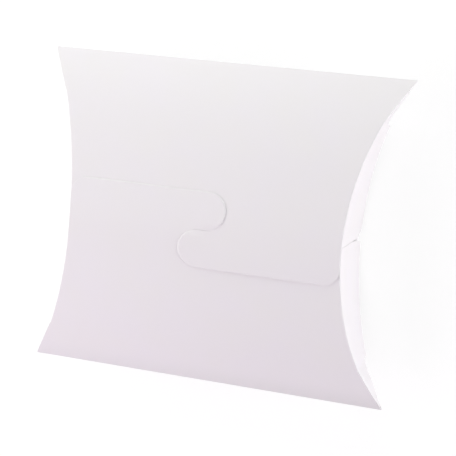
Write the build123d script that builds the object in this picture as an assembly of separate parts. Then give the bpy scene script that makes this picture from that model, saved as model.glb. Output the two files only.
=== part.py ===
from build123d import *
import math
import os

# A pillow box folded from one sheet of white board, lying on its back.
# X runs along the long creases, +Y towards the upper long crease and +Z out of the front.
# The origin is under the middle of the box, on the surface that it lies on. All lengths are in millimetres.

# The whole box
crease_length = 200.0        # ear to ear along the front's long creases
panel_height = 184.7         # a panel from long crease to long crease, measured along the bowed sheet
crease_inset = 25.5          # how far a curved crease runs in from its ears at mid height
board = 0.5                  # thickness of the board
layer_gap = 0.3              # air between two sheets of the front that lap
wall_gap = 1.1               # room between outer and inner end flaps, which the swing of the front needs
score_gap = 0.12             # play in a crease that folds

# The hooked lock: each half of the front carries one tongue that laps the other half
tongue_lap = 20.2            # how far a tongue laps past the middle line
nose_reach = 13.5            # from the box's centre to the tip of a tongue's nose
corner_round = 9.0           # radius of a tongue's outer corner
slit_width = 0.4             # cut that frees a nose from the half that carries it
cross_over = 10.0            # stretch of X in which the two sheets change places
ramp_length = 25.0           # stretch in which a half climbs onto its neighbour
end_setback = 0.3            # a tongue's end edge to the curved crease beside it

# The long creases
fold_round = 0.9             # outer radius of the fold
bead_height = 0.3            # pressed bead inside the fold

# The end flaps
free_edge_margin = 1.2       # an outer flap's free edge to the face of the back
outer_ear_relief = 26.0      # an outer flap's narrow end to the ear, where the front is cut straight
outer_end_slant = 3.0        # how far an outer flap's narrow end leans in at its foot
outer_corner_round = 2.0     # an outer flap's free corner at the middle line
inner_edge_margin = 4.0      # an inner flap's free edge to the sheet of the front
inner_ear_relief = 12.0      # an inner flap's narrow end to the ear, where the back is cut straight
flap_end_gap = 0.4           # a flap's narrow end to where the panel's straight cut starts

overrun = 15.0               # how far cutting bodies stand past what they cut

# Where curves are set out, in shares of the climbing stretch, the rest of a sheet and a free edge
ramp_shares = (0.25, 0.5, 0.75, 1.0)
rest_shares = (0.2, 0.4, 0.6, 0.8, 1.0)
edge_shares = (0, 0.125, 0.25, 0.375, 0.5, 0.625, 0.75, 0.875, 1.0)
ear_shares = (0, 0.5, 1.0)

# Worked out from the sizes above
half_length = crease_length / 2
half_panel = panel_height / 2
half_slit = slit_width / 2
half_cross = cross_over / 2
layer_step = board + layer_gap
wall_step = board + wall_gap
crease_level = crease_inset
inner_length = crease_length - 2 * wall_step
outer_crease_end = half_panel - outer_ear_relief + flap_end_gap
inner_crease_end = half_panel - inner_ear_relief + flap_end_gap
# A curved crease is scored in the flat sheet as an arc of this radius
score_radius = (half_panel ** 2 + crease_inset ** 2) / (2 * crease_inset)


def slope(flat):
    """Tilt of the bowed sheet, in radians, at a distance along it from the middle line."""
    return math.asin(flat / math.sqrt(score_radius ** 2 - flat ** 2))


def rise(flat):
    """Height of the bowed sheet over the plane of the long creases.

    A curved crease folded to a right angle lies in a plane at 45 degrees,
    so the sheet rises there by just what the scored arc runs in.
    """
    return math.sqrt(score_radius ** 2 - flat ** 2) - (score_radius - crease_inset)


def across(flat):
    """Distance of that place from the middle line, by Simpson's rule on the cosine of the tilt."""
    strips = 8
    width = flat / strips
    total = math.cos(slope(0)) + math.cos(slope(flat))
    for strip in range(1, strips):
        weight = 4 if strip % 2 else 2
        total += weight * math.cos(slope(strip * width))
    return total * width / 3


def climb(flat):
    """Lift of a half of the front where it climbs onto the other half, greatest at the middle line."""
    share = min(abs(flat) / ramp_length, 1)
    return layer_step * (1 - 3 * share ** 2 + 2 * share ** 3)


half_height = across(half_panel)
crease_tilt = slope(half_panel)
sheet_end = half_panel - fold_round / math.tan(crease_tilt)


def stops_to(end):
    """Places at which a sheet's curve is set out, from the middle line to its end."""
    near = [share * ramp_length for share in ramp_shares]
    far = [ramp_length + share * (end - ramp_length) for share in rest_shares]
    return [0] + near + far


def other_way(stops):
    """The same places on the other side of the middle line, in rising order too."""
    return [-flat for flat in reversed(stops)]


def both_ways(stops):
    """The same places on both sides of the middle line."""
    return other_way(stops[1:]) + stops


def ear_stops(start, end):
    """Places for the rest of a panel, from its curved creases' end to its long crease."""
    return [start + share * (end - start) for share in ear_shares]


def mitre(flat):
    """How far a sheet's inner face ends short of its outer face where a curved crease folds it square."""
    tilt = slope(flat)
    return board * (1 + math.sin(tilt) ** 2) / math.cos(tilt)


def cut_edges(stops, outer, inner):
    """The four edges of a cut across a sheet, from the points of its outer and of its inner face."""
    return [
        Edge.make_spline(outer, parameters=stops),
        Edge.make_spline(inner, parameters=stops),
        Line(outer[0], inner[0]),
        Line(outer[-1], inner[-1]),
    ]


def sheet_through(stops, cuts):
    """Sheet through a row of cuts across it, each given by points of its outer and of its inner face."""
    rows = [cut_edges(stops, *cut) for cut in cuts]
    faces = [Face.make_surface_from_curves(row[0], row[1]) for row in (rows[0], rows[-1])]
    for row, next_row in zip(rows, rows[1:]):
        faces += [Face.make_surface_from_curves(*pair) for pair in zip(row, next_row)]
    return Solid(Shell(faces))


def cut_across(stops, layers, climbs, outer_x, inner_x):
    """Cut across a bowed sheet that lies on so many layers and on so many climbing sheets.

    Each face ends at its own X, given for every stop.
    """
    outer = []
    inner = []
    for flat, x, x_inside in zip(stops, outer_x, inner_x):
        tilt = slope(flat)
        y = across(flat)
        z = crease_level + rise(flat) + layers * layer_step + climbs * climb(flat)
        outer.append((x, y, z))
        inner.append((x_inside, y - board * math.sin(tilt), z - board * math.cos(tilt)))
    return outer, inner


def straight_cut(x, stops, layers, climbs):
    """The same at one X."""
    places = [x] * len(stops)
    return cut_across(stops, layers, climbs, places, places)


def creased_cut(side, length, stops, climbs):
    """The same along the surface that halves the fold of a curved crease, right (1) or left (-1)."""
    outer_x = [side * (length / 2 - rise(flat)) for flat in stops]
    inner_x = [x - side * mitre(flat) for x, flat in zip(outer_x, stops)]
    return cut_across(stops, 0, climbs, outer_x, inner_x)


def ear_strip(length, stops):
    """The rest of a panel up to its long crease, cut straight from the curved creases to the ears."""
    start = min(abs(flat) for flat in stops)
    corner = length / 2 - rise(start)
    out = (half_length - corner) / (half_panel - start)
    ends = [corner + out * (abs(flat) - start) for flat in stops]
    cuts = []
    for side in (-1, 1):
        places = [side * x for x in ends]
        cuts.append(cut_across(stops, 0, 0, places, places))
    return sheet_through(stops, cuts)


def block(low, high):
    """A box between two opposite corners."""
    size = [b - a for a, b in zip(low, high)]
    return Pos(*low) * Box(*size, align=(Align.MIN, Align.MIN, Align.MIN))


def front_half():
    """The upper half of the front without its tongue: it lies low on the left and climbs on the right."""
    stops = stops_to(outer_crease_end)
    sheet = sheet_through(stops, [
        creased_cut(-1, crease_length, stops, 0),
        straight_cut(-half_cross, stops, 0, 0),
        straight_cut(half_cross, stops, 0, 1),
        creased_cut(1, crease_length, stops, 1),
    ])
    # Left of the crossing it ends short of the middle line, clear of the sheet that comes through
    slit = block((-crease_length, -overrun, 0), (half_cross, half_slit, crease_length))
    return sheet - slit + ear_strip(crease_length, ear_stops(outer_crease_end, sheet_end - score_gap))


def tongue_plan():
    """Outline of the upper half's tongue: hooked nose on the left, round corner on the right."""
    nose_radius = (tongue_lap - half_slit) / 2
    nose_middle = -half_slit - nose_radius
    nose_start = nose_radius - nose_reach
    end_edge = []
    for share in (0, *ramp_shares):
        flat = share * (tongue_lap - corner_round)
        end_edge.append((half_length - rise(flat) - end_setback, -across(flat)))
    corner_x = end_edge[-1][0] - corner_round
    return make_face([
        Line((half_cross, 0), end_edge[0]),
        Spline(*end_edge),
        RadiusArc(end_edge[-1], (corner_x, -tongue_lap), corner_round),
        Line((corner_x, -tongue_lap), (nose_start, -tongue_lap)),
        ThreePointArc((nose_start, -tongue_lap), (-nose_reach, nose_middle), (nose_start, -half_slit)),
        Line((nose_start, -half_slit), (half_cross, -half_slit)),
        Line((half_cross, -half_slit), (half_cross, 0)),
    ])


def lock_tongue():
    """The upper half's tongue: one layer up over the lower half, its nose two where that half climbs."""
    stops = [-share * ramp_length for share in (*reversed(ramp_shares), 0)]
    sheet = sheet_through(stops, [
        straight_cut(-half_length, stops, 1, 1),
        straight_cut(-half_cross, stops, 1, 1),
        straight_cut(half_cross, stops, 1, 0),
        straight_cut(half_length, stops, 1, 0),
    ])
    return sheet & extrude(tongue_plan(), crease_length)


def wall_sheet(length, stops, climbs, play):
    """Standing sheet on the right, down from the curved crease that it folds from, with play under it."""
    top_outer = []
    top_inner = []
    for flat in stops:
        tilt = slope(flat)
        x = length / 2 - rise(flat)
        y = across(flat)
        z = crease_level + rise(flat) + climbs * climb(flat) - play
        top_outer.append((x, y, z))
        top_inner.append((x - board * math.cos(tilt), y + board * math.sin(tilt), z - mitre(flat)))
    foot_outer = [(x, y, -overrun) for x, y, z in top_outer]
    foot_inner = [(x, y, -overrun) for x, y, z in top_inner]
    return sheet_through(stops, [(foot_outer, foot_inner), (top_outer, top_inner)])


def side_body(outline):
    """Body through the right half of the box behind an outline given in Y and in height over the creases."""
    plane = Plane(origin=(0, 0, crease_level), x_dir=(0, 1, 0), z_dir=(1, 0, 0))
    return extrude(plane * outline, crease_length)


def free_edge(start, end, margin):
    """Points of a flap's free edge, at a margin inside the bow of the face opposite."""
    points = []
    for share in edge_shares:
        flat = start + share * (end - start)
        points.append((across(flat), margin - rise(flat)))
    return points


def outer_flap(climbs):
    """The end flap at the right-hand end of the upper half, hanging from its curved crease.

    Under the long creases' level its meeting edge is struck from the long crease,
    so that the two half flaps pass each other when the front swings open.
    """
    swing = half_height - half_slit
    drop = crease_inset - free_edge_margin
    turn = math.asin(drop / swing)
    corner = (half_height - swing * math.cos(turn), -drop)
    middle = (half_height - swing * math.cos(turn / 2), -swing * math.sin(turn / 2))
    end = half_panel - outer_ear_relief
    bottom = free_edge(corner[0], end - outer_end_slant, free_edge_margin)
    foot, depth = bottom[-1]
    top = crease_inset + overrun
    lean = (across(end) - foot) / (rise(end) - depth)
    sides = Polyline((foot, depth), (foot + lean * (top - depth), top), (half_slit, top), (half_slit, 0))
    outline = make_face([
        *sides.edges(),
        ThreePointArc((half_slit, 0), middle, corner),
        Spline(corner, *bottom[1:]),
    ])
    free_corner = outline.vertices().sort_by_distance(corner)[0]
    outline = fillet(free_corner, outer_corner_round)
    return wall_sheet(crease_length, stops_to(outer_crease_end), climbs, score_gap) & side_body(outline)


def inner_flap():
    """The end flap at the back's right-hand end, folded up inside the outer ones."""
    end = half_panel - inner_ear_relief
    edge = free_edge(-end, end, board + inner_edge_margin)
    top = crease_inset + overrun
    sides = Polyline(edge[-1], (edge[-1][0], top), (edge[0][0], top), edge[0])
    outline = make_face([Spline(*edge), *sides.edges()])
    hanging = wall_sheet(inner_length, both_ways(stops_to(inner_crease_end)), 0, 0) & side_body(outline)
    return mirror(hanging, Plane.XY.offset(crease_level))


def back():
    """The back, one bowed panel from long crease to long crease."""
    stops = both_ways(stops_to(inner_crease_end))
    panel = sheet_through(stops, [creased_cut(side, inner_length, stops, 0) for side in (-1, 1)])
    upper = ear_stops(inner_crease_end, sheet_end)
    for ears in (upper, other_way(upper)):
        panel += ear_strip(inner_length, ears)
    return mirror(panel, Plane.XY.offset(crease_level))


def long_crease():
    """The fold between the front's upper half and the back, with the pressed bead inside it."""
    tilt = slope(sheet_end)
    front = (across(sheet_end), rise(sheet_end))
    front_inside = (front[0] - board * math.sin(tilt), front[1] - board * math.cos(tilt))
    back_side = (front[0], -front[1])
    back_inside = (front_inside[0], -front_inside[1])
    crown = half_height - fold_round / math.sin(crease_tilt) + fold_round
    section = make_face([
        ThreePointArc(front, (crown, 0), back_side),
        Line(back_side, back_inside),
        ThreePointArc(back_inside, (front_inside[0] - bead_height, 0), front_inside),
        Line(front_inside, front),
    ])
    end_x = half_length - front[1]
    plane = Plane(origin=(-end_x, 0, crease_level), x_dir=(0, 1, 0), z_dir=(1, 0, 0))
    return extrude(plane * section, 2 * end_x)


def turned(body):
    """The same piece on the lower half: the front looks alike when the box is turned half round."""
    return Rot(0, 0, 180) * body


def mirrored(body):
    """The same piece at the other end."""
    return mirror(body, Plane.YZ)


def main():
    os.makedirs("parts", exist_ok=True)
    high_flap = outer_flap(1)
    low_flap = outer_flap(0)
    half = front_half()
    tongue = lock_tongue()
    crease = long_crease()
    inside_flap = inner_flap()
    pieces = {
        "back_panel": back(),
        "upper_crease": crease,
        "lower_crease": turned(crease),
        "right_inner_end_flap": inside_flap,
        "left_inner_end_flap": mirrored(inside_flap),
        "upper_front_panel": half,
        "lower_front_panel": turned(half),
        "upper_lock_tongue": tongue,
        "lower_lock_tongue": turned(tongue),
        "upper_right_end_flap": high_flap,
        "lower_left_end_flap": turned(high_flap),
        "upper_left_end_flap": mirrored(low_flap),
        "lower_right_end_flap": turned(mirrored(low_flap)),
    }
    for name, piece in pieces.items():
        export_step(piece, f"parts/{name}.step")


main()
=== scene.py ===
import bpy
import bmesh
from math import asin, cos, pi, radians, sin, sqrt
from mathutils import Matrix, Vector


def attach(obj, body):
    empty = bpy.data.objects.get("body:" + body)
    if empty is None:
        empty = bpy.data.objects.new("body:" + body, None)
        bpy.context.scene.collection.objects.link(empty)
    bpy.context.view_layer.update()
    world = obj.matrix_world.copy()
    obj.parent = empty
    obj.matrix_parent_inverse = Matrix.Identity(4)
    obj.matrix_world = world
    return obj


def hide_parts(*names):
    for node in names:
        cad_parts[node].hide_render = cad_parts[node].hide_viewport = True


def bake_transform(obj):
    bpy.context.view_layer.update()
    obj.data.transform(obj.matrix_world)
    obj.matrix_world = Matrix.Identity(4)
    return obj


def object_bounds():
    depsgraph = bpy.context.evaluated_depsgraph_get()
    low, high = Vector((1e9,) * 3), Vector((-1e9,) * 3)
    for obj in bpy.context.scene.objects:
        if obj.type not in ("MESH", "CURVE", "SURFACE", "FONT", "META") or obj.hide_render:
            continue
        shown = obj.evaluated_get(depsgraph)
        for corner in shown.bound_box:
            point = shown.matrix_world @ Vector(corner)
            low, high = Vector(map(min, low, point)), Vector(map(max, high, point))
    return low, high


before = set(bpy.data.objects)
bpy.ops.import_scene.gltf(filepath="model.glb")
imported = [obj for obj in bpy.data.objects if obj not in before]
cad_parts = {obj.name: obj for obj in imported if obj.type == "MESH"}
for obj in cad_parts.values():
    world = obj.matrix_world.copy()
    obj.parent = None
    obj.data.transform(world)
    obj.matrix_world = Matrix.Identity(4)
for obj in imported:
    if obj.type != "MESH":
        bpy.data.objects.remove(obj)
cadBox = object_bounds()
print("frame loaded, box", [[round(value, 4) for value in corner] for corner in cadBox])

# sizes of the folded carton, in metres
carton = {
    "creaseLength": 0.2,      # ear to ear along the front's long creases
    "panelHeight": 0.1847,    # a panel from long crease to long crease, along the bowed sheet
    "creaseInset": 0.0255,    # how far a curved crease runs in at mid height
    "thickness": 0.0005,
    "layerStep": 0.0008,      # from one sheet of the front to the one that laps it
    "wallStep": 0.0016,       # from the outer end flaps to the inner ones
    "longRound": 0.0009,      # outside radius of the long folds
    "scoreRound": 0.0006,     # and of the tighter curved ones
    "rampLength": 0.025,      # stretch in which a half climbs onto its neighbour
    "flapEndGap": 0.0004,     # from a flap's narrow end to the panel's straight cut
}
halfLength = carton["creaseLength"] / 2
halfPanel = carton["panelHeight"] / 2
inset = carton["creaseInset"]
scoreRound = carton["scoreRound"]
creaseLevel = inset           # the long creases' height over the table
scoreRadius = (halfPanel ** 2 + inset ** 2) / (2 * inset)
arcStrips = 8                 # for lengths along the bow
newtonSteps = 4


def mix(low, high, share):
    return low + (high - low) * share


def smooth(share):
    share = min(max(share, 0), 1)
    return share * share * (3 - 2 * share)


def slopeAt(flat):
    return asin(flat / sqrt(scoreRadius ** 2 - flat ** 2))


def riseAt(flat):             # height over the long creases
    return sqrt(scoreRadius ** 2 - flat ** 2) - (scoreRadius - inset)


def acrossAt(flat):           # distance from the middle line, Simpson's rule on the cosine of the tilt
    width = flat / arcStrips
    total = 1 + cos(slopeAt(flat))
    for strip in range(1, arcStrips):
        total += (4 if strip % 2 else 2) * cos(slopeAt(strip * width))
    return total * width / 3


def flatAt(across):           # the way back, by a few Newton steps
    flat = across
    for step in range(newtonSteps):
        flat -= (acrossAt(flat) - across) / cos(slopeAt(flat))
    return flat


def climbAt(flat):            # onto the neighbouring half, all of it at the middle line
    return carton["layerStep"] * (1 - smooth(abs(flat) / carton["rampLength"]))


halfHeight = acrossAt(halfPanel)
sheetEnd = halfPanel - carton["longRound"] * cos(slopeAt(halfPanel)) / sin(slopeAt(halfPanel))


def panelEnd(flat, length, flapEnd):
    # where a panel stops: short of its curved fold and, past the flap, at a straight cut to the ear,
    # but never past the CAD box
    if abs(flat) <= flapEnd:
        return length / 2 - riseAt(flat) - scoreRound
    cutStart = flapEnd + carton["flapEndGap"]
    corner = length / 2 - riseAt(cutStart)
    return min(mix(corner, halfLength, (abs(flat) - cutStart) / (halfPanel - cutStart)), cadBox[1][0])


def panelFlat(row, rows, earRows, flapEnd):
    # where a row of a sheet lies, counted from the middle line
    if row <= rows:
        return flapEnd * row / rows
    return mix(flapEnd + carton["flapEndGap"], sheetEnd, (row - rows - 1) / (earRows - 1))


sheetFinish = {
    "mergeWithin": 0.000002,
    "sharpFrom": 38,          # degrees between faces
    "insideSlot": 1,          # places in the list of board materials
    "cutEdgeSlot": 2,
}


def addGrid(mesh, columns, rows, place, flip=False, isRim=None):
    # a flat grid, its rim cells given the cut edge's whiter board, partly a painted highlight along the
    # edge, each vertex then laid where place(column, row) says
    made = bmesh.ops.create_grid(mesh, x_segments=columns, y_segments=rows, size=1)["verts"]
    if isRim:
        for face in {face for vert in made for face in vert.link_faces}:
            centre = face.calc_center_median()
            if isRim(int((centre.x + 1) / 2 * columns), int((centre.y + 1) / 2 * rows)):
                face.material_index = sheetFinish["cutEdgeSlot"]
    for vert in made:
        column = round((vert.co.x + 1) / 2 * columns)
        row = round((vert.co.y + 1) / 2 * rows)
        vert.co = place(column, row)
    if flip:
        faces = list({face for vert in made for face in vert.link_faces})
        bmesh.ops.reverse_faces(mesh, faces=faces)


def finishSheet(mesh, name, materials):
    # one sheet of board: thickness inwards, cut edges in their own material, crisp corners
    bmesh.ops.remove_doubles(mesh, verts=mesh.verts, dist=sheetFinish["mergeWithin"])
    data = bpy.data.meshes.new(name)
    mesh.to_mesh(data)
    mesh.free()
    piece = bpy.data.objects.new(name, data)
    bpy.context.scene.collection.objects.link(piece)
    for material in materials:
        data.materials.append(material)
    solid = piece.modifiers.new("boardThickness", "SOLIDIFY")
    solid.thickness = carton["thickness"]
    solid.offset = -1
    solid.use_even_offset = True
    solid.material_offset = sheetFinish["insideSlot"]
    solid.material_offset_rim = sheetFinish["cutEdgeSlot"]
    depsgraph = bpy.context.evaluated_depsgraph_get()
    final = bpy.data.meshes.new_from_object(piece.evaluated_get(depsgraph))
    piece.modifiers.clear()
    piece.data = final
    final.name = name
    final.shade_smooth()
    final.set_sharp_from_angle(angle=radians(sheetFinish["sharpFrom"]))
    bpy.data.meshes.remove(data)
    return piece


def turned(mesh):
    bmesh.ops.rotate(mesh, verts=mesh.verts, cent=(0, 0, 0), matrix=Matrix.Rotation(pi, 3, "Z"))


def mirrored(mesh):
    bmesh.ops.scale(mesh, verts=mesh.verts, vec=(-1, 1, 1))
    bmesh.ops.reverse_faces(mesh, faces=mesh.faces)


# materials
class Flow:
    # a value somewhere in a material's nodes, to be used in plain sums
    def __init__(self, tree, socket=None):
        self.tree = tree
        self.socket = socket

    def node(self, kind, settings=None, inputs=None, output=0):     # settings come before sockets
        made = self.tree.nodes.new(kind)
        for key, value in (settings or {}).items():
            setattr(made, key, value)
        for key, value in (inputs or {}).items():
            if isinstance(value, Flow):
                self.tree.links.new(value.socket, made.inputs[key])
            else:
                made.inputs[key].default_value = value
        return Flow(self.tree, made.outputs[output]) if output is not None else None

    def math(self, operation, first, second, clamp=False):
        settings = {"operation": operation, "use_clamp": clamp}
        return self.node("ShaderNodeMath", settings, {0: first, 1: second})

    def __add__(self, other):
        return self.math("ADD", self, other)

    def __radd__(self, other):
        return self.math("ADD", other, self)

    def __sub__(self, other):
        return self.math("SUBTRACT", self, other)

    def __rsub__(self, other):
        return self.math("SUBTRACT", other, self)

    def __mul__(self, other):
        return self.math("MULTIPLY", self, other)

    def __rmul__(self, other):
        return self.math("MULTIPLY", other, self)

    def __pow__(self, other):
        return self.math("POWER", self, other)

    def __rpow__(self, other):
        return self.math("POWER", other, self)

    def limited(self):                # to 0 to 1
        return self.math("ADD", self, 0.0, clamp=True)

    def between(self, low, high):     # 0 at low, 1 at high
        return self.node("ShaderNodeMapRange", {}, {"Value": self, "From Min": low, "From Max": high})

    def noise(self, place, scale, detail, roughness=0.5):
        inputs = {"Vector": place, "Scale": scale, "Detail": detail, "Roughness": roughness}
        return self.node("ShaderNodeTexNoise", {}, inputs)

    def blended(self, share, first, second):     # two colours
        return self.node("ShaderNodeMix", {"data_type": "RGBA"}, {0: share, 6: first, 7: second}, output=2)


boardLook = {
    "colour": (0.885, 0.865, 0.885, 1),       # bleached board with a faint lilac cast
    "warmPatch": (0.885, 0.868, 0.872, 1),
    "reverse": (0.86, 0.855, 0.845, 1),       # the uncoated inside
    "cutEdge": (0.93, 0.925, 0.92, 1),
    "fibre": (0.80, 0.785, 0.79, 1),
    "paintedShade": (0.795, 0.787, 0.79, 1),       # painted shade: greyer along the lower fold, where the light falls off on its steep underside
    "paintedShadeFrom": -0.073,                    # metres across from the middle line
    "paintedShadeTo": -0.0866,
    "paintedShadeLeast": 0.6,                      # at the left end, 1 at the right one
    "roughness": 0.56,
    "mottleRoughness": 0.08,                  # how much the mottle and the fibres change it
    "fibreRoughness": 0.06,
    "refraction": 1.45,
    "gloss": 0.35,
    "fibreSize": 1900.0,                      # noise cells per metre
    "fibreDetail": 4.0,
    "fibreCoarseness": 0.62,
    "fibreFrom": 0.56,                        # only the noise's peaks show as fibres
    "fibreTo": 0.74,
    "fibreShare": 0.10,
    "fibreDepth": 0.000012,                   # metres
    "fibreRelief": 0.7,                       # share of the relief, and the speckle's
    "speckleRelief": 0.3,
    "reliefStrength": 0.35,
    "speckleDensity": 2.3,                    # against the fibres
    "speckleDetail": 1.0,
    "mottleSize": 45.0,
    "mottleDetail": 3.0,
    "mottleFrom": 0.35,
    "mottleTo": 0.65,
}
# rougher is added to the roughness, deeper multiplies the relief, grain draws the fibres out
boardFaces = [
    {"name": "boardOutside", "base": "colour", "patch": "warmPatch",
     "rougher": 0.0, "deeper": 1, "grain": (1.0, 0.35, 1.0)},
    {"name": "boardInside", "base": "reverse", "patch": "colour",
     "rougher": 0.2, "deeper": 2, "grain": (1.0, 0.3, 1.0)},
    {"name": "boardCutEdge", "base": "cutEdge", "patch": "colour",
     "rougher": 0.25, "deeper": 3, "grain": (0.5, 0.5, 2.5)},
]


def boardTone(flow, side, place, fibres, mottle):
    # two tints in soft patches, a few fibres, and a strip of painted shade along the lower fold
    patches = mottle.between(boardLook["mottleFrom"], boardLook["mottleTo"])
    tone = flow.blended(patches, boardLook[side["base"]], boardLook[side["patch"]])
    strands = fibres.between(boardLook["fibreFrom"], boardLook["fibreTo"]) * boardLook["fibreShare"]
    tone = flow.blended(strands.limited(), tone, boardLook["fibre"])
    along = flow.node("ShaderNodeSeparateXYZ", {}, {"Vector": place}, output="X")
    across = flow.node("ShaderNodeSeparateXYZ", {}, {"Vector": place}, output="Y")
    # painted shade: darker towards the lower fold, and more so towards the right end
    least = boardLook["paintedShadeLeast"]
    paintedShade = across.between(boardLook["paintedShadeFrom"], boardLook["paintedShadeTo"]) ** 2
    paintedShade = paintedShade * (along.between(-halfLength, halfLength) * (1 - least) + least)
    return flow.blended(paintedShade, tone, boardLook["paintedShade"])


def boardRoughness(side, fibres, mottle):
    middle = 0.5              # of a noise
    byMottle = (mottle - middle) * boardLook["mottleRoughness"]
    byFibres = (fibres - middle) * boardLook["fibreRoughness"]
    return boardLook["roughness"] + side["rougher"] + byMottle + byFibres


def boardMaterial(side):
    material = bpy.data.materials.new(side["name"])
    material.use_nodes = True
    material.node_tree.nodes.clear()
    flow = Flow(material.node_tree)
    place = flow.node("ShaderNodeTexCoord", {}, {}, output="Object")
    stretched = flow.node("ShaderNodeMapping", {}, {"Vector": place, "Scale": side["grain"]})
    speckleSize = boardLook["fibreSize"] * boardLook["speckleDensity"]
    fibres = flow.noise(stretched, boardLook["fibreSize"], boardLook["fibreDetail"],
                        boardLook["fibreCoarseness"])
    speckle = flow.noise(place, speckleSize, boardLook["speckleDetail"])
    mottle = flow.noise(place, boardLook["mottleSize"], boardLook["mottleDetail"])
    relief = flow.node("ShaderNodeBump", {}, {
        "Strength": boardLook["reliefStrength"],
        "Distance": boardLook["fibreDepth"] * side["deeper"],
        "Height": fibres * boardLook["fibreRelief"] + speckle * boardLook["speckleRelief"],
    })
    shader = flow.node("ShaderNodeBsdfPrincipled", {}, {
        "Base Color": boardTone(flow, side, place, fibres, mottle),
        "Roughness": boardRoughness(side, fibres, mottle),
        "Normal": relief,
        "IOR": boardLook["refraction"],
        "Specular IOR Level": boardLook["gloss"],
    })
    flow.node("ShaderNodeOutputMaterial", {}, {"Surface": shader}, output=None)
    return material


boardMaterials = [boardMaterial(side) for side in boardFaces]
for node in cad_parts.values():
    node.data.materials.clear()
    node.data.materials.append(boardMaterials[0])
print("materials made")


# front: two halves, each with its tongue
frontSheet = {
    "rows": 36,               # up to where the end flaps stop
    "earRows": 12,
    "flapRelief": 0.026,      # from an end flap's narrow end to the ear
    "halfSlit": 0.00005,      # from the middle line to either side of the slit
    "slitRoot": 0.005,        # the slit beside the nose ends here
    "slitTaper": 0.001,       # and closes over this stretch
    # where the columns stand, as shares of the stretch on either side of the slit's root
    "leftShares": [0, 0.01] + [step * 0.08 for step in range(1, 12)] + [0.905, 0.93, 0.955, 0.98, 1],
    "rightShares": [0, 0.02, 0.045, 0.08] + [0.12 + step * 0.11 for step in range(9)],
}
tongue = {
    "lap": 0.0202,            # past the middle line
    "noseReach": 0.0123,      # centre to the tip of the nose
    "cornerRound": 0.009,     # free outer corner
    "endSetback": 0.0003,     # outer end, short of the end wall's face
    "endStretch": 0.02,       # in which the edge comes down to its outer end
    "rows": 36,
    "settle": 0.00027,        # how far the nose lies down onto the other half
    "rimRows": 3,             # whitened rim along the cut edge: crushed board, and a painted highlight where the rounded edge catches light
    "rimDrop": 0.00028,       # the die rounds the edge off by this much
    "rimWidth": 0.0007,       # over this width
    "slitPress": 0.00056,     # the nose is pressed level beside its slit
    "slitPressWidth": 0.004,  # and comes up again over this width
    "leftShares": [0, 0.015, 0.035, 0.08, 0.16, 0.28, 0.42, 0.57, 0.72, 0.86, 1],
}
noseRadius = (tongue["lap"] - frontSheet["halfSlit"]) / 2
outerEnd = halfPanel - frontSheet["flapRelief"]


def crossing(x):              # 0 left of the centre, 1 right of it
    return smooth((x + frontSheet["slitRoot"]) / (2 * frontSheet["slitRoot"]))


def slitAt(x):                # half the open slit between nose and half
    return frontSheet["halfSlit"] * min(max((frontSheet["slitRoot"] - x) / frontSheet["slitTaper"], 0), 1)


def frontFlat(row):
    return panelFlat(row, frontSheet["rows"], frontSheet["earRows"], outerEnd)


def frontPlace(column, row):
    flat = frontFlat(row)
    end = panelEnd(flat, carton["creaseLength"], outerEnd)
    root = frontSheet["slitRoot"]
    split = len(frontSheet["leftShares"]) - 1
    if column <= split:
        x = mix(-end, root, frontSheet["leftShares"][column])
    else:
        x = mix(root, end, frontSheet["rightShares"][column - split])
    y = acrossAt(flat) if row else slitAt(x)
    return Vector((x, y, creaseLevel + riseAt(flat) + climbAt(flat) * crossing(x)))


def tongueLevel(x, y, toEnd, toEdge, lie):
    # a layer over the other half, the nose pressed down onto it, the rim rounded off
    root = frontSheet["slitRoot"]
    onNose = 1 - crossing(x)
    atEnd = smooth(1 - toEnd / tongue["endStretch"])
    atTip = smooth((-root - x) / (tongue["noseReach"] - root)) ** 2
    z = creaseLevel + riseAt(y) + carton["layerStep"] + climbAt(y) * onNose
    z += (lie["edge"] + lie["end"] * atEnd) * smooth(-y / tongue["lap"]) * (1 - onNose)
    z += mix(-tongue["settle"], lie["tip"], atTip) * onNose
    z -= tongue["slitPress"] * onNose * smooth(1 + y / tongue["slitPressWidth"])
    return z - tongue["rimDrop"] * max(1 - toEdge / tongue["rimWidth"], 0) ** 2


def tonguePlace(column, row, lie):
    # rows run from the middle line to the free edge, columns from the nose to the outer end
    turn = pi * row / tongue["rows"]
    noseY = -frontSheet["halfSlit"] - noseRadius + noseRadius * cos(turn)
    lapY = -tongue["lap"] / 2 * (1 - cos(turn))
    noseX = noseRadius - tongue["noseReach"] - noseRadius * sin(turn)
    cornerY = -tongue["lap"] + tongue["cornerRound"]
    endX = halfLength - riseAt(max(lapY, cornerY)) - tongue["endSetback"]
    if lapY < cornerY:
        radius = tongue["cornerRound"]
        endX += sqrt(max(radius ** 2 - (cornerY - lapY) ** 2, 0)) - radius
    root = frontSheet["slitRoot"]
    split = len(tongue["leftShares"]) - 1
    last = split + len(frontSheet["rightShares"])
    if column <= split:
        x = mix(noseX, root, tongue["leftShares"][column])
    elif column < last:
        foldX = endX - scoreRound + tongue["endSetback"]
        x = mix(root, foldX, frontSheet["rightShares"][column - split])
    else:
        x = endX
    y = mix(lapY, noseY, slitAt(x) / frontSheet["halfSlit"])
    toEdge = min(tongue["lap"] + lapY, x - noseX)
    return Vector((x, y, tongueLevel(x, y, endX - x, toEdge, lie)))


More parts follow.
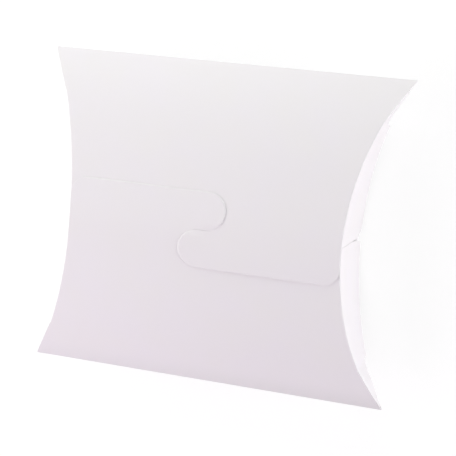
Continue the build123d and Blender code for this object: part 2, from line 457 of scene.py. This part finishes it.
def frontMesh(lie):
    right = len(frontSheet["rightShares"]) - 1
    halfColumns = len(frontSheet["leftShares"]) - 1 + right
    halfRows = frontSheet["rows"] + frontSheet["earRows"]
    tongueColumns = len(tongue["leftShares"]) + right
    rimFrom = tongue["rows"] - tongue["rimRows"]

    def laidTongue(column, row):
        return tonguePlace(column, row, lie)

    # the rim strip on top takes the cut edge's whiter board: crushed board, and a painted highlight
    def onRim(column, row):
        return column in (0, tongueColumns - 1) or row >= rimFrom

    mesh = bmesh.new()
    addGrid(mesh, halfColumns, halfRows, frontPlace)
    addGrid(mesh, tongueColumns, tongue["rows"], laidTongue, flip=True, isRim=onRim)
    return mesh


# how far the tongues stand off at their free edge, more or less at its outer end, and at the nose's tip
upperLie = {"edge": 0.0001, "end": -0.0003, "tip": -0.00027}
lowerLie = {"edge": -0.00028, "end": 0, "tip": -0.00005}
upperMesh = frontMesh(upperLie)
upperFront = finishSheet(upperMesh, "upperFrontSheet", boardMaterials)
lowerMesh = frontMesh(lowerLie)
turned(lowerMesh)
lowerFront = finishSheet(lowerMesh, "lowerFrontSheet", boardMaterials)
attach(upperFront, "upper_front")
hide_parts("upper_front_panel", "upper_lock_tongue")
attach(lowerFront, "lower_front")
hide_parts("lower_front_panel", "lower_lock_tongue")
print("front sheets made")


# end walls: two half flaps at each end
outerWall = {
    "foldSteps": 7,           # columns round the fold
    "drops": 14,              # and down the wall
    "edgeMargin": 0.0012,     # free edge to the bow of the back
    "edgeReach": 0.02,        # stretch that follows the edge at the middle line
    "cornerRound": 0.002,     # free corner at the middle line
    "endSlant": 0.003,        # how far the narrow end leans in at its foot
    "bendFrom": 0.0015,       # the flap bends out of the fold between these depths under the crease
    "bendTo": 0.020,
}
swing = halfHeight - frontSheet["halfSlit"]


def meetingEdge(z):           # the half flaps' edge at the middle line, struck from the long crease
    drop = max(creaseLevel - z, 0)
    return halfHeight - sqrt(swing ** 2 - drop ** 2)


def foldPoint(length, flat, top, step, steps):
    # quarter round from the panel into the wall
    turn = pi / 2 * step / steps
    x = length / 2 - riseAt(flat) - scoreRound * (1 - sin(turn))
    return Vector((x, acrossAt(flat), top - scoreRound * (1 - cos(turn))))


def leanAt(flat):             # how far the foot leans in, most at the narrow end
    return outerWall["endSlant"] * smooth(flat / outerEnd) ** 4


def outerWallMesh(climbs):
    steps, drops, rows = outerWall["foldSteps"], outerWall["drops"], frontSheet["rows"]

    def shifted(flat, z, share):      # the meeting edge swings back, the narrow end leans in
        near = max(1 - flat / outerWall["edgeReach"], 0)
        return acrossAt(flat) + (meetingEdge(z) - frontSheet["halfSlit"]) * near - leanAt(flat) * share

    def place(column, row):
        flat = frontFlat(row) if row else frontSheet["halfSlit"]
        top = creaseLevel + riseAt(flat) + climbs * climbAt(flat)
        if column <= steps:
            return foldPoint(carton["creaseLength"], flat, top, column, steps)
        share = (column - steps) / drops
        top -= scoreRound
        bottom = creaseLevel + outerWall["edgeMargin"] - riseAt(flat - leanAt(flat))
        radius = outerWall["cornerRound"]
        inward = radius + meetingEdge(bottom) - shifted(flat, bottom, 1)
        if inward > 0:        # free corner
            bottom += radius - sqrt(max(radius ** 2 - inward ** 2, 0))
        z = mix(top, bottom, share)
        y = shifted(flat, z, share)
        return Vector((halfLength - riseAt(flatAt(y)), y, z))

    mesh = bmesh.new()
    addGrid(mesh, steps + drops, rows, place)
    return mesh


def bendWall(piece, flapBody):
    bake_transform(piece)
    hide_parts(flapBody.replace("_flap", "_end_flap"))


for wallName, isLower, frontBody, flapBody, climbs, side in [
    ("upperRightWall", False, "upper_front", "upper_right_flap", 1, 1),
    ("lowerRightWall", True, "lower_front", "lower_right_flap", 0, 1),
    ("upperLeftWall", False, "upper_front", "upper_left_flap", 0, -1),
    ("lowerLeftWall", True, "lower_front", "lower_left_flap", 1, -1),
]:
    wallMesh = outerWallMesh(climbs)
    if climbs == 0:
        mirrored(wallMesh)
    if isLower:
        turned(wallMesh)
    wall = finishSheet(wallMesh, wallName, boardMaterials)
    bendWall(wall, flapBody)
print("end walls made")


# back with its inner end flaps
backSheet = {
    "rows": 40,               # from the middle line to where the inner flaps stop
    "earRows": 6,
    "columns": 24,
}
innerWall = {
    "foldSteps": 5,           # columns round the fold
    "drops": 10,              # and up the wall
    "edgeMargin": 0.0045,     # free edge to the bow of the front
    "lowEarMargin": 0.0012,   # and at the lower ears, where it stands higher
    "earReach": 0.014,        # past the outer flaps it comes out level with the front over this stretch
    "earRelief": 0.003,       # from its end to the ear
}
innerEnd = halfPanel - innerWall["earRelief"]


def inEar(flat):              # 1 past the outer flap's narrow end
    return smooth((flat - outerEnd) / innerWall["earReach"])


def backLength(flat):
    return carton["creaseLength"] - 2 * carton["wallStep"] * (1 - inEar(abs(flat)))


def backRow(row):             # counted from the lower long crease
    middle = backSheet["rows"] + backSheet["earRows"]
    flat = panelFlat(abs(row - middle), backSheet["rows"], backSheet["earRows"], innerEnd)
    return flat if row > middle else -flat


def backPlace(column, row):
    flat = backRow(row)
    end = panelEnd(flat, backLength(flat), innerEnd)
    x = mix(-end, end, column / backSheet["columns"])
    return Vector((x, acrossAt(flat), creaseLevel - riseAt(flat)))


def addInnerWall(mesh, side):
    # the back's end flap stands up inside the outer ones
    steps, drops, rows = innerWall["foldSteps"], innerWall["drops"], 2 * backSheet["rows"]

    def place(column, row):
        flat = backRow(row + backSheet["earRows"])
        length = backLength(flat)
        top = creaseLevel + riseAt(flat)
        if column <= steps:
            point = foldPoint(length, flat, top, column, steps)
        else:
            margin = mix(innerWall["edgeMargin"], innerWall["lowEarMargin"], inEar(-flat))
            bottom = creaseLevel + min(margin - riseAt(flat), 0)
            z = mix(top - scoreRound, bottom, (column - steps) / drops)
            point = Vector((length / 2 - riseAt(flat), acrossAt(flat), z))
        return Vector((side * point.x, point.y, 2 * creaseLevel - point.z))

    addGrid(mesh, steps + drops, rows, place, flip=side > 0)


backMesh = bmesh.new()
backRows = 2 * (backSheet["rows"] + backSheet["earRows"])
addGrid(backMesh, backSheet["columns"], backRows, backPlace, flip=True)
addInnerWall(backMesh, 1)
addInnerWall(backMesh, -1)
back = finishSheet(backMesh, "backSheet", boardMaterials)
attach(back, "back")
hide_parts("back_panel", "right_inner_end_flap", "left_inner_end_flap")
print("back made")


# folded strips along the long creases
longFold = {
    "columns": 40,
    "steps": 10,
}


def longFoldMesh():
    edgeY, edgeZ = acrossAt(sheetEnd), riseAt(sheetEnd)
    tilt = slopeAt(sheetEnd)
    centreY = edgeY - edgeZ * sin(tilt) / cos(tilt)
    radius = edgeZ / cos(tilt)
    end = halfLength - edgeZ
    steps = longFold["steps"]

    def place(column, row):
        turn = mix(tilt - pi / 2, pi / 2 - tilt, row / steps)
        x = mix(-end, end, column / longFold["columns"])
        return Vector((x, centreY + radius * cos(turn), creaseLevel + radius * sin(turn)))

    mesh = bmesh.new()
    addGrid(mesh, longFold["columns"], steps, place, flip=True)
    return mesh


for foldName, frontBody, node, isLower in [
    ("upperLongFold", "upper_front", "upper_crease", False),
    ("lowerLongFold", "lower_front", "lower_crease", True),
]:
    foldMesh = longFoldMesh()
    if isLower:
        turned(foldMesh)
    fold = finishSheet(foldMesh, foldName, boardMaterials)
    creaseLevel - riseAt(sheetEnd)
    creaseLevel + riseAt(sheetEnd)
    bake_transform(fold)
    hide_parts(node)
print("long folds made")


# floor, room and lamps
studio = {
    "floorSize": 6.0,
    "floorShade": (0.93, 0.925, 0.93, 1),
    "floorGlow": 0.79,        # plain white that the camera sees in the floor
    "floorTone": (0.27, 0.27, 0.27, 1),     # and the colour that takes the shadow there
    "skyStrength": 0.2,       # of the light that reaches the box
    "backdrop": 1.0,          # and of what the camera sees past the floor
    "lamps": [
        {"name": "topLamp", "place": (-0.15, 0.75, 0.35), "size": 0.6,
         "power": 3.7, "tint": (0.99, 0.98, 1.0)},
        {"name": "leftLamp", "place": (-1.1, 0.1, 0.7), "size": 0.8,
         "power": 5.2, "tint": (0.96, 1.0, 0.86)},
        {"name": "rightLamp", "place": (1.2, 0.1, 0.35), "size": 0.7,
         "power": 6.1, "tint": (0.92, 1.0, 0.99)},
        {"name": "roseLamp", "place": (-0.6, -0.6, 0.6), "size": 0.7,
         "power": 5.3, "tint": (0.97, 0.84, 1.0)},
        {"name": "lowRightLamp", "place": (1.1, -0.4, 0.3), "size": 0.7,
         "power": 4.3, "tint": (1.0, 0.83, 0.91)},
    ],
    "lampAim": (0, 0, 0.03),
}
plainWhite = (1, 1, 1, 1)


def seenShare(flow):          # 1 for what the camera sees, also in a gloss or through glass
    rays = flow.node("ShaderNodeLightPath").socket.node.outputs
    seen = Flow(flow.tree, rays["Is Camera Ray"])
    for name in ("Is Glossy Ray", "Is Transmission Ray"):
        seen = seen + Flow(flow.tree, rays[name])
    return seen.limited()


def floorPaper():
    material = bpy.data.materials.new("floorPaper")
    material.use_nodes = True
    material.node_tree.nodes.clear()
    flow = Flow(material.node_tree)
    matt = flow.node("ShaderNodeBsdfDiffuse", {}, {"Color": studio["floorShade"]})
    glow = flow.node("ShaderNodeEmission", {}, {"Color": plainWhite, "Strength": studio["floorGlow"]})
    shadowed = flow.node("ShaderNodeBsdfDiffuse", {}, {"Color": studio["floorTone"]})
    seenFloor = flow.node("ShaderNodeAddShader", {}, {0: glow, 1: shadowed})
    surface = flow.node("ShaderNodeMixShader", {}, {0: seenShare(flow), 1: matt, 2: seenFloor})
    flow.node("ShaderNodeOutputMaterial", {}, {"Surface": surface}, output=None)
    return material


def softRoom():
    world = bpy.data.worlds.new("softRoom")
    world.use_nodes = True
    world.node_tree.nodes.clear()
    flow = Flow(world.node_tree)
    sky = flow.node("ShaderNodeBackground", {}, {"Color": plainWhite, "Strength": studio["skyStrength"]})
    backdrop = flow.node("ShaderNodeBackground", {}, {"Color": plainWhite, "Strength": studio["backdrop"]})
    surface = flow.node("ShaderNodeMixShader", {}, {0: seenShare(flow), 1: sky, 2: backdrop})
    flow.node("ShaderNodeOutputWorld", {}, {"Surface": surface}, output=None)
    return world


floorMesh = bmesh.new()
bmesh.ops.create_grid(floorMesh, x_segments=1, y_segments=1, size=studio["floorSize"] / 2)
floorData = bpy.data.meshes.new("studioFloor")
floorMesh.to_mesh(floorData)
floorMesh.free()
floor = bpy.data.objects.new("studioFloor", floorData)
bpy.context.scene.collection.objects.link(floor)
floorData.materials.append(floorPaper())
bpy.context.scene.world = softRoom()

for look in studio["lamps"]:
    lamp = bpy.data.lights.new(look["name"], "AREA")
    lamp.shape = "SQUARE"
    lamp.size = look["size"]
    lamp.energy = look["power"]
    lamp.color = look["tint"]
    holder = bpy.data.objects.new(look["name"], lamp)
    holder.location = look["place"]
    aim = Vector(studio["lampAim"]) - holder.location
    holder.rotation_euler = aim.to_track_quat("-Z", "Y").to_euler()
    bpy.context.scene.collection.objects.link(holder)
print("floor and lamps set")

photoCamera = {               # fitted to the outline in the photo
    "lens": 100.88,
    "sensorWidth": 36,
    "place": (0.1971, 0.10276, 0.67567),
    "turn": (-7.2234, 17.0275, 5.2285),       # degrees
}
cameraData = bpy.data.cameras.new("photoCamera")
cameraData.lens = photoCamera["lens"]
cameraData.sensor_width = photoCamera["sensorWidth"]
cameraObject = bpy.data.objects.new("photoCamera", cameraData)
cameraObject.location = photoCamera["place"]
cameraObject.rotation_euler = [radians(angle) for angle in photoCamera["turn"]]
bpy.context.scene.collection.objects.link(cameraObject)
bpy.context.scene.camera = cameraObject
bpy.context.scene.view_settings.view_transform = "Standard"
